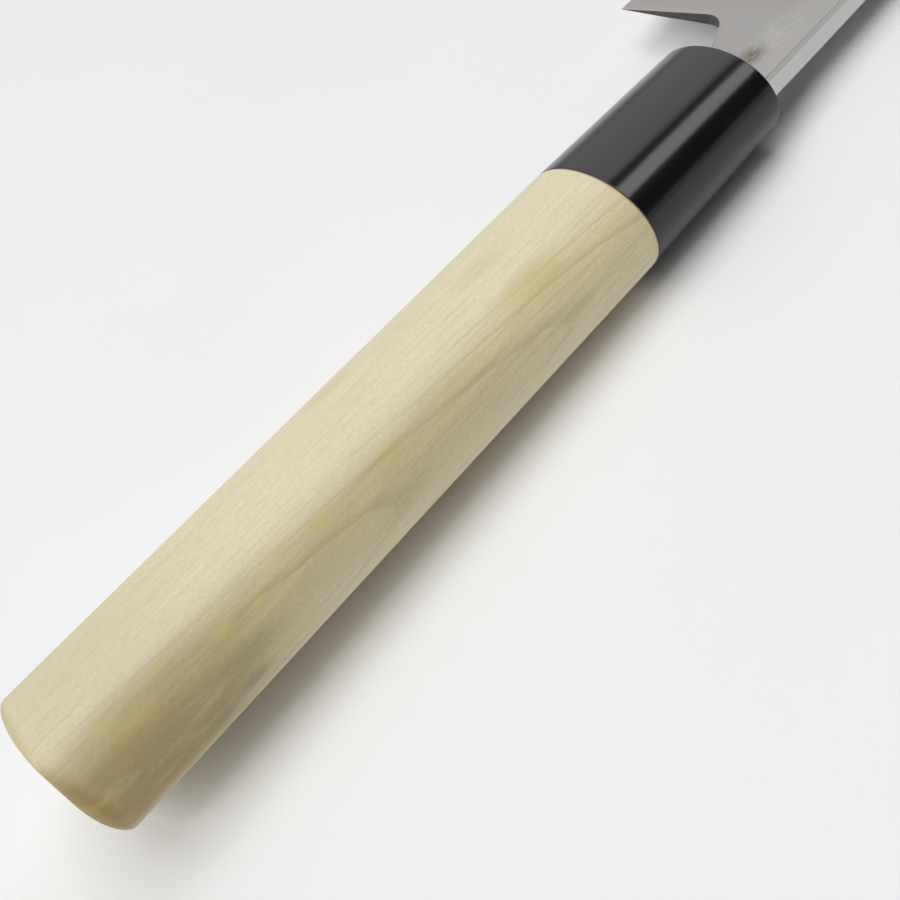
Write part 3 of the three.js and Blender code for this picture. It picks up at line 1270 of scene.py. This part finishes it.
@dataclass
class MouthSeal:
    """The resin between the neck and the ferrule's slot, with a hollow, uneven front."""

    back_x: float
    mouth_x: float
    corner_radius: float = 0.55
    neck_radius: float = 0.2
    corner_steps: int = 8
    wall_steps: int = 10
    edge_recess: float = 0.12
    hollow: float = 0.45
    ripple: float = 0.07
    ripple_counts: tuple[int, int] = (3, 5)
    second_ripple: float = 0.6
    second_turn: float = 1.0
    clear: float = 0.03

    def build(
        self, low: np.ndarray, high: np.ndarray, neck_low: np.ndarray, neck_high: np.ndarray,
    ) -> Object:
        """Makes the mesh.

        Args:
            low: The slot's lowest y and z.
            high: The slot's highest y and z.
            neck_low: The neck's lowest y and z.
            neck_high: The neck's highest y and z.

        Returns:
            The object.
        """
        clear, steps = self.clear, self.corner_steps
        outer = round_box(low + clear, high - clear, self.corner_radius, steps)
        inner = round_box(neck_low - clear, neck_high + clear, self.neck_radius, steps)
        turn = np.linspace(0.0, 2.0 * math.pi, len(outer), endpoint=False)
        one, two = self.ripple_counts
        wave = np.sin(one * turn) + self.second_ripple * np.sin(two * turn + self.second_turn)
        rings = []
        for share in np.linspace(0.0, 1.0, self.wall_steps + 1):
            sag = 4 * share * (1 - share)
            x = self.mouth_x - self.edge_recess - sag * (self.hollow + self.ripple * wave)
            rings.append(np.column_stack([x, inner * (1 - share) + outer * share]))
        rings += [across_at(self.back_x, loop) for loop in (outer, inner)]
        skin = Skin()
        numbers = [skin.add(ring) for ring in rings]
        for one, two in zip(numbers, numbers[1:] + numbers[:1]):
            skin.strip(one, two)
        piece = skin.make("resin_seal")
        smooth(piece)
        return piece

    def dress(self, piece: Object, effects: Effects) -> None:
        """Gives the seal its finish in its slot and hides its node."""
        fit_out(piece, Node.SEAL, ResinFinish().material(effects))


@dataclass
class BladePlan:
    """The blade's side view, and the rows and columns of points that its layers share.

    Rows run from the spine to the edge and columns from the shoulder to the tip. An inset draws the
    outline in, so that a rounded edge can go from one outline to the next.
    """

    shoulder_x: float
    mouth_x: float
    spine_y: float
    edge_y: float
    edge_length: float = 180.0
    tip_height: float = 38.4
    tip_lean: float = 2.0
    tip_radius: float = 4.0
    notch_length: float = 15.7
    heel_lean: float = 0.9
    neck_height: float = 11.0
    neck_height_at_heel: float = 18.4
    notch_radius: float = 5.0
    bevel_height: float = 18.0
    weld_from_edge: float = 10.154
    rim_at_spine: float = 5.0
    rim_at_edge: float = 2.5
    crease: float = 0.1
    tip_arc_steps: int = 9
    notch_steps: int = 18
    neck_steps: int = 16
    row_step: float = 0.9
    row_gap: float = 0.05
    column_step: float = 1.3
    long_column_step: float = 3.6
    run_out: float = 26.0

    def __post_init__(self) -> None:
        """Works out where the heel, the tip and the neck lie, and the notch's fillet."""
        self.heel_x = self.mouth_x + self.notch_length
        self.tip_x = self.heel_x + self.edge_length
        self.neck_y = self.spine_y + self.neck_height
        corner = np.array([self.heel_x + self.heel_lean, self.spine_y + self.neck_height_at_heel])
        heel = np.array([self.heel_x, self.edge_y]) - corner
        neck = np.array([self.mouth_x, self.neck_y]) - corner
        heel, neck = heel / np.linalg.norm(heel), neck / np.linalg.norm(neck)
        half = math.acos(float(heel @ neck)) / 2
        middle = (heel + neck) / np.linalg.norm(heel + neck)
        self.notch_middle = corner + middle * self.notch_radius / math.sin(half)
        tangent = self.notch_radius / math.tan(half)
        self.heel_normal = (corner + heel * tangent - self.notch_middle) / self.notch_radius
        self.neck_normal = (corner + neck * tangent - self.notch_middle) / self.notch_radius
        self.heel_slope = heel[0] / heel[1]

    def edge(self, x: np.ndarray | float) -> np.ndarray | float:
        """The edge's y at a place along the blade."""
        share = np.clip((x - self.heel_x) / self.edge_length, 0.0, 1.0)
        return self.edge_y + (self.spine_y + self.tip_height - self.edge_y) * share

    def rows(self, inset: float) -> tuple[list[float], int, int]:
        """The rows' y at the heel.

        Args:
            inset: How far the outline is drawn in.

        Returns:
            The rows, the number of the row at the neck's lower edge and the number of the weld's row.
        """
        spine = self.spine_y + inset
        rim = self.spine_y + self.rim_at_spine
        radius = self.tip_radius - inset
        rows = [spine + radius * (1 - cosine) for _, cosine in quarter(self.tip_arc_steps)]
        rows += [rim - self.crease, rim, rim + self.crease]
        radius = self.notch_radius + inset
        neck_end = self.notch_middle[1] + radius * self.neck_normal[1]
        heel_end = self.notch_middle[1] + radius * self.heel_normal[1]
        rows += list(self.steps(rim + self.crease, neck_end))
        neck_row = len(rows) - 1
        first = math.asin(self.neck_normal[1])
        last = math.asin(self.heel_normal[1])
        arc = np.linspace(first, last, self.notch_steps + 1)[1:]
        rows += [self.notch_middle[1] + radius * math.sin(angle) for angle in arc]
        bevel = max(self.edge_y - self.bevel_height, heel_end + self.row_gap)
        weld = self.edge_y - self.weld_from_edge
        rows += [bevel, bevel + self.crease]
        rows += list(self.steps(bevel + self.crease, weld))
        weld_row = len(rows) - 1
        low_rim = self.edge_y - self.rim_at_edge
        rows += list(self.steps(weld, low_rim - self.crease))
        rows += [low_rim, low_rim + self.crease]
        rows += list(self.steps(low_rim + self.crease, self.edge_y))
        return rows, neck_row, weld_row

    def steps(self, start: float, end: float) -> np.ndarray:
        """Even steps from a start to an end, without the start."""
        count = max(1, round((end - start) / self.row_step))
        return np.linspace(start, end, count + 1)[1:]

    def heel_at(self, y: float, inset: float) -> float:
        """The x at which a row starts: on the heel, on the notch's fillet or on the neck's end.

        Args:
            y: The row.
            inset: How far the outline is drawn in.

        Returns:
            The x.
        """
        radius = self.notch_radius + inset
        neck_end = self.notch_middle + radius * self.neck_normal
        heel_end = self.notch_middle + radius * self.heel_normal
        if y >= heel_end[1]:
            return float(heel_end[0] + (y - heel_end[1]) * self.heel_slope)
        if y <= neck_end[1]:
            return float(neck_end[0])
        return float(self.notch_middle[0] + math.sqrt(radius**2 - (y - self.notch_middle[1]) ** 2))

    def tip_at(self, y: float, inset: float) -> float:
        """The x at which a row ends: on the tip's round corner or on its leaning end.

        Args:
            y: The row's y at the tip.
            inset: How far the outline is drawn in.

        Returns:
            The x.
        """
        top = self.tip_x - self.tip_lean
        radius = self.tip_radius - inset
        below = y - self.spine_y - self.tip_radius
        if below < 0:
            return top - self.tip_radius + math.sqrt(max(radius**2 - below**2, 0.0))
        height = self.edge_y - self.spine_y - self.tip_radius
        return top - inset + self.tip_lean * below / height

    def tip_row(self, y: float) -> float:
        """A row's y at the tip.

        Args:
            y: Its y at the heel.

        Returns:
            The y.
        """
        rim = self.spine_y + self.rim_at_spine
        bevel = self.edge_y - self.bevel_height
        drop = self.edge_y - self.spine_y - self.tip_height
        if y <= rim:
            return y
        if y >= bevel:
            return y - drop
        return y - drop * (y - rim) / (bevel - rim)

    def columns(self) -> np.ndarray:
        """The places of the columns, closer together near the heel and the tip.

        Returns:
            Shares of the way from the heel to the tip.
        """
        ends = np.arange(0.0, self.run_out, self.column_step)
        middle = self.edge_length - 2 * self.run_out
        count = round(middle / self.long_column_step)
        inner = np.linspace(self.run_out, self.edge_length - self.run_out, count + 1)
        return np.concatenate([ends, inner, self.edge_length - ends[::-1]]) / self.edge_length

    def grid(self, inset: float, last_row: int | None = None) -> tuple[list[np.ndarray], int]:
        """The rows of (x, y) points inside an outline.

        Args:
            inset: How far the outline is drawn in.
            last_row: The last row wanted, or None for all down to the edge.

        Returns:
            The rows, of which those above the notch start at the shoulder, and the notch's row.
        """
        rows, neck_row, _ = self.rows(inset)
        rows = rows if last_row is None else rows[: last_row + 1]
        columns = self.columns()
        neck_end = self.notch_middle + (self.notch_radius + inset) * self.neck_normal
        before = np.linspace(self.shoulder_x, self.mouth_x, self.neck_steps // 2 + 1)[:-1]
        after = np.linspace(self.mouth_x, neck_end[0], self.neck_steps + 1)[:-1]
        neck_x = np.concatenate([before, after])
        under = np.interp(neck_x, [self.mouth_x, neck_end[0]], [self.neck_y - inset, neck_end[1]])
        spine = self.spine_y + inset
        made = []
        for number, y in enumerate(rows):
            end_y = self.tip_row(y)
            start = np.array([self.heel_at(y, inset), y])
            end = np.array([self.tip_at(end_y, inset), end_y])
            row = start + (end - start) * columns[:, None]
            if number <= neck_row:
                share = (y - spine) / (neck_end[1] - spine)
                row = np.concatenate([np.column_stack([neck_x, spine + share * (under - spine)]), row])
            made.append(row)
        return made, neck_row


@dataclass
class Blade:
    """The blade's two layers, welded face to face."""

    plan: BladePlan
    ura_z: float
    weld_z: float
    spine_thickness: float = 4.3
    tip_thickness: float = 2.8
    bevel_thickness: float = 2.05
    land: float = 0.04
    weld_step: float = 0.02
    hollow_depth: float = 0.45
    rim_at_heel: float = 2.0
    rim_at_tip: float = 5.0
    hollow_run_out: float = 16.0
    spine_round: float = 0.2
    round_steps: int = 5
    round_share: float = 0.4
    sharp_deg: float = 24.0
    bevel_blur: float = 0.08

    def ura_height(self, x: np.ndarray, y: np.ndarray) -> np.ndarray:
        """The ura face's height, with its hollow.

        Args:
            x: Places along the blade.
            y: Places across it.

        Returns:
            The z.
        """
        plan = self.plan
        from_heel = (x - plan.heel_x - self.rim_at_heel) / self.hollow_run_out
        from_tip = (plan.tip_x - plan.tip_lean - self.rim_at_tip - x) / self.hollow_run_out
        run = np.clip(np.minimum(from_heel, from_tip), 0.0, 1.0)
        run = run * run * (3 - 2 * run)
        start = plan.spine_y + plan.rim_at_spine
        share = np.clip((y - start) / (plan.edge(x) - plan.rim_at_edge - start), 0.0, 1.0)
        return self.ura_z - self.hollow_depth * run * 4 * share * (1 - share)

    def omote_height(self, x: np.ndarray, y: np.ndarray) -> np.ndarray:
        """The bevel side's height: the flat, then the bevel down to the edge.

        Args:
            x: Places along the blade.
            y: Places across it.

        Returns:
            The z.
        """
        plan = self.plan
        share = np.clip((x - plan.heel_x) / plan.edge_length, 0.0, 1.0)
        spine = self.spine_thickness + (self.tip_thickness - self.spine_thickness) * share
        edge = plan.edge(x)
        bevel = edge - plan.bevel_height
        flat = spine + (self.bevel_thickness - spine) * (y - plan.spine_y) / (bevel - plan.spine_y)
        slope = self.land + (self.bevel_thickness - self.land) * (edge - y) / plan.bevel_height
        return self.ura_z - np.where(y < bevel, flat, slope)

    def bevel_mask(self, graph: Graph, along: NodeSocket, across: NodeSocket) -> NodeSocket:
        """The mask of the hazy bevel, from its line down to the edge.

        Args:
            graph: The material's graph.
            along: The point's x.
            across: The point's y.

        Returns:
            The mask.
        """
        plan = self.plan
        drop = (plan.edge_y - plan.spine_y - plan.tip_height) / plan.edge_length
        line = plan.edge_y - plan.bevel_height + plan.heel_x * drop
        past = graph.less(graph.line(along, drop, across), line)
        return graph.between(past, -self.bevel_blur, self.bevel_blur)

    def layer(self, name: str, side: Side, last_row: int | None) -> Object:
        """Makes one layer as a closed mesh with rounded edges on one side.

        Args:
            name: The object's name.
            side: The side that has the rounded edges.
            last_row: The row at which the layer ends, or None for the edge.

        Returns:
            The object.
        """
        skin = Skin()
        inner, neck_row = self.plan.grid(self.spine_round, last_row)
        outer, _ = self.plan.grid(0.0, last_row)
        round_rows, flat_rows = [], []
        for one, two in zip(inner, outer):
            if side is Side.URA:
                height = self.ura_height(one[:, 0], one[:, 1])
                other = np.maximum(self.weld_z, self.omote_height(two[:, 0], two[:, 1]))
            else:
                height = self.omote_height(one[:, 0], one[:, 1])
                height = np.minimum(height, self.weld_z - self.weld_step)
                other = np.full(len(two), self.weld_z)
            round_rows.append(np.column_stack([one, height]))
            flat_rows.append(np.column_stack([two, other]))
        round_numbers = [skin.add(row) for row in round_rows]
        flat_numbers = [skin.add(row) for row in flat_rows]
        self.fill(skin, round_numbers, neck_row)
        self.fill(skin, flat_numbers, neck_row)
        loop = self.border(round_numbers, neck_row)
        flat_loop = self.border(flat_numbers, neck_row)
        start = np.array([skin.points[k] for k in loop])
        end = np.array([skin.points[k] for k in flat_loop])
        drop = np.minimum(self.spine_round, self.round_share * np.abs(start[:, 2] - end[:, 2]))
        for sine, cosine in quarter(self.round_steps)[1:]:
            ring = start + (end - start) * sine
            ring[:, 2] = start[:, 2] - side.value * drop * (1 - cosine)
            numbers = skin.add(ring)
            skin.strip(loop, numbers)
            loop = numbers
        skin.strip(loop, flat_loop)
        piece = skin.make(name)
        smooth(piece, self.sharp_deg)
        return piece

    @staticmethod
    def fill(skin: Skin, rows: list[np.ndarray], neck_row: int) -> None:
        """Fills a layer's face between its rows.

        Args:
            skin: The layer's points and faces.
            rows: Numbers of each row's points.
            neck_row: The last row that starts at the shoulder.
        """
        for number, (one, two) in enumerate(zip(rows, rows[1:])):
            shared = min(len(one), len(two)) if number >= neck_row else len(one)
            skin.strip(one[-shared:], two[-shared:], closed=False)

    @staticmethod
    def border(rows: list[np.ndarray], neck_row: int) -> np.ndarray:
        """The border of a layer's face, from the shoulder along the spine and round.

        Args:
            rows: Numbers of each row's points.
            neck_row: The last row that starts at the shoulder.

        Returns:
            Numbers of the border's points.
        """
        neck = len(rows[0]) - len(rows[-1])
        loop = list(rows[0]) + [row[-1] for row in rows[1:]]
        loop += list(rows[-1][-2::-1])
        loop += [row[0] for row in rows[-2:neck_row:-1]]
        loop += list(rows[neck_row][neck::-1])
        loop += [row[0] for row in rows[neck_row - 1 : 0 : -1]]
        return np.array(loop)

    def build_steel(self) -> Object:
        """Makes the hard layer, from the edge to the spine."""
        return self.layer("steel_layer", Side.URA, None)

    def build_iron(self, tang: Tang) -> Object:
        """Makes the soft layer with the neck and the tang.

        Args:
            tang: The tang.

        Returns:
            The object.
        """
        _, _, weld_row = self.plan.rows(0.0)
        piece = self.layer("iron_layer", Side.OMOTE, weld_row)
        combine(piece, tang.solid("tang", 0.0, tang.overlap), "UNION")
        smooth(piece, self.sharp_deg)
        return piece

    def dress_iron(self, piece: Object, effects: Effects) -> None:
        """Gives the soft layer its finish in its slot and hides its node."""
        fit_out(piece, Node.IRON, IronFinish().material(self, effects))

    def dress_steel(self, piece: Object, effects: Effects) -> None:
        """Gives the hard layer its finish in its slot and hides its node."""
        fit_out(piece, Node.STEEL, SteelFinish().material(self, effects))


@dataclass(frozen=True)
class Softbox:
    """A flat lamp: where it stands in millimetres, its sides in metres and how bright its face is.

    It shines straight down, or at the knife if it is aimed. An aimed one doesn't show in shiny surfaces,
    and a mirrored one shows only there.
    """

    name: str
    place: Point
    size: Pair
    radiance: float
    aimed: bool = False
    mirrored: bool = False

    def build(self) -> None:
        """Makes the lamp."""
        lamp = bpy.data.lights.new(self.name, "AREA")
        lamp.shape = "RECTANGLE"
        lamp.size, lamp.size_y = self.size
        lamp.energy = self.radiance * math.pi * self.size[0] * self.size[1]
        piece = bpy.data.objects.new(self.name, lamp)
        piece.location = Vector(self.place) * MM
        if self.aimed:
            piece.rotation_mode = "QUATERNION"
            piece.rotation_quaternion = (-piece.location).to_track_quat("-Z", "Y")
        piece.visible_camera = False
        piece.visible_diffuse = not self.mirrored
        piece.visible_glossy = not self.aimed
        bpy.context.scene.collection.objects.link(piece)


SOFTBOXES = (
    Softbox("key_softbox", (-3113.0, -667.0, 2422.0), (1.88, 3.00), 5.75, aimed=True),
    Softbox("top_softbox", (-66.0, -68.0, 1500.0), (1.25, 1.23), 2.15),
    Softbox("strip_softbox", (1250.0, -680.0, 1478.0), (1.6, 0.72), 3.1, mirrored=True),
)


@dataclass
class Studio:
    """Floor, light and camera."""

    rest_normal: Point = (-0.0419, -0.0493, 0.9979)
    rest_point: Point = (140.3, 0.75, -8.69)
    floor_radius: float = 2600.0
    floor_rings: int = 40
    floor_sides: int = 96
    rim_start: float = 0.6
    rim_height: float = 420.0
    floor_colour: Colour = (0.875, 0.875, 0.879)
    floor_wave: Point = (60.0, 60.0, 60.0)
    floor_tone: Step = (0.3, 0.7, 0.985, 1.0)
    floor_roughness: float = 0.8
    floor_specular: float = 0.15
    sky_level: float = 0.145
    gloss_sky_level: float = 0.75
    dark_sky_level: float = 0.02
    far_sky_level: float = 0.25
    far_sky_rise: float = 1.4
    front_run: Pair = (0.15, 0.45)
    far_run: Pair = (-0.02, 0.06)
    flag_ends: Pair = (200.0, 1900.0)
    flag_low: Pair = (-1200.0, 280.0)
    flag_high: Pair = (-750.0, 980.0)
    flag_colour: Colour = (0.004, 0.004, 0.004)
    camera_at: Point = (4.028, -134.434, 115.991)
    look_at: Point = (63.996, -11.348, 0.0)
    roll_deg: float = 29.251
    lens: float = 54.148

    def build(self) -> None:
        """Makes the whole studio."""
        self.floor()
        self.light()
        self.camera()

    def floor(self) -> None:
        """A pale floor on which the knife rests, with a rim that rises all round."""
        skin = Skin()
        angle = np.linspace(0.0, 2.0 * math.pi, self.floor_sides, endpoint=False)
        rings = []
        for share in np.linspace(0.0, 1.0, self.floor_rings + 1)[1:]:
            rise = self.rim_height * max(0.0, (share - self.rim_start) / (1 - self.rim_start)) ** 2
            radius = self.floor_radius * share
            x, y = radius * np.cos(angle), radius * np.sin(angle)
            rings.append(skin.add(np.column_stack([x, y, np.full(self.floor_sides, rise)])))
        for one, two in zip(rings, rings[1:]):
            skin.strip(one, two)
        skin.fan(rings[0])
        piece = skin.make("floor")
        up = Vector(self.rest_normal).normalized()
        piece.rotation_mode = "QUATERNION"
        piece.rotation_quaternion = up.to_track_quat("Z", "Y")
        piece.location = Vector(self.rest_point) * MM
        if piece.data.polygons[0].normal.z < 0:
            piece.data.flip_normals()
        smooth(piece)
        material, graph, shader = new_material("pale_floor")
        cloud = graph.noise(graph.place(), self.floor_wave, detail=3.0)
        grey = graph.grey(graph.between(cloud, *self.floor_tone))
        colour = graph.mix(1.0, self.floor_colour, grey, "MULTIPLY")
        rough, specular = self.floor_roughness, self.floor_specular
        graph.set(shader, Base_Color=colour, Roughness=rough, Specular_IOR_Level=specular)
        piece.data.materials.append(material)
        log.info("floor is the stage")

    def light(self) -> None:
        """The softboxes, a black flag and a dim sky.

        Towards the tip the sky is dark on the spine's side and rises to bright on the edge's side.
        """
        world = bpy.data.worlds.new("studio")
        bpy.context.scene.world = world
        world.use_nodes = True
        graph = Graph(world.node_tree)
        along, far, up = graph.split(graph.node("TexCoord").outputs["Generated"])
        front = graph.between(along, *self.front_run)
        bright = graph.line(graph.math("MAXIMUM", up, 0.0), self.far_sky_rise, self.far_sky_level)
        ahead = graph.line(graph.between(far, *self.far_run), bright, self.dark_sky_level)
        glossy = graph.node("LightPath").outputs["Is Glossy Ray"]
        sky = graph.line(glossy, self.gloss_sky_level - self.sky_level, self.sky_level)
        level = graph.line(front, graph.less(ahead, sky), sky)
        graph.set(world.node_tree.nodes["Background"], Color=(1.0, 1.0, 1.0), Strength=level)
        for softbox in SOFTBOXES:
            softbox.build()
        self.flag()

    def flag(self) -> None:
        """A black card between the strip softbox and the floor, which gloss surfaces mirror."""
        skin = Skin()
        sides = (self.flag_low, self.flag_high)
        low, high = skin.add(np.array([[(x, *side) for x in self.flag_ends] for side in sides]))
        skin.strip(low, high, closed=False)
        piece = skin.make("black_flag")
        material, graph, shader = new_material("flag_black")
        graph.set(shader, Base_Color=self.flag_colour, Roughness=1.0, Specular_IOR_Level=0.0)
        piece.data.materials.append(material)
        piece.visible_camera = False

    def camera(self) -> None:
        """The camera at the photograph's view."""
        data = bpy.data.cameras.new("view")
        data.lens = self.lens
        data.clip_start = 0.005
        data.clip_end = 50.0
        camera = bpy.data.objects.new("view", data)
        camera.location = Vector(self.camera_at) * MM
        forward = (Vector(self.look_at) - Vector(self.camera_at)).normalized()
        turn = Quaternion(forward, math.radians(self.roll_deg))
        camera.rotation_mode = "QUATERNION"
        camera.rotation_quaternion = turn @ forward.to_track_quat("-Z", "Y")
        bpy.context.scene.collection.objects.link(camera)
        bpy.context.scene.camera = camera


def main() -> None:
    """Builds the pieces in order, dresses them and sets up the studio."""
    logging.basicConfig(level=logging.INFO, format="%(name)s: %(message)s")
    bpy.context.scene.view_settings.view_transform = "Standard"
    Studio().build()

    _, handle_high = node_box(Node.HANDLE)
    ferrule_low, ferrule_high = node_box(Node.FERRULE)
    seal_low, seal_high = node_box(Node.SEAL)
    steel_low, steel_high = node_box(Node.STEEL)
    joint_x, mouth_x = ferrule_low[0], ferrule_high[0]
    shoulder_x, spine_y, weld_z = steel_low
    edge_y, ura_z = steel_high[1:]

    effects = Effects()
    tang = Tang(shoulder_x, spine_y, weld_z)
    plan = BladePlan(shoulder_x, mouth_x, spine_y, edge_y)
    blade = Blade(plan, ura_z, weld_z)
    handle = Handle(joint_x, handle_high[0], mouth_x)
    ferrule = Ferrule(joint_x, mouth_x)
    seal = MouthSeal(seal_low[0], mouth_x)

    slot_low, slot_high = seal_low[1:] - FIT_GAP, seal_high[1:] + FIT_GAP
    neck_low = np.array([spine_y, ura_z - blade.spine_thickness])
    neck_high = np.array([plan.neck_y, ura_z])
    handle.dress(handle.build(tang), effects)
    ferrule.dress(ferrule.build(slot_low, slot_high), effects)
    seal.dress(seal.build(slot_low, slot_high, neck_low, neck_high), effects)
    blade.dress_iron(blade.build_iron(tang), effects)
    blade.dress_steel(blade.build_steel(), effects)


if __name__ == "__main__":
    main()
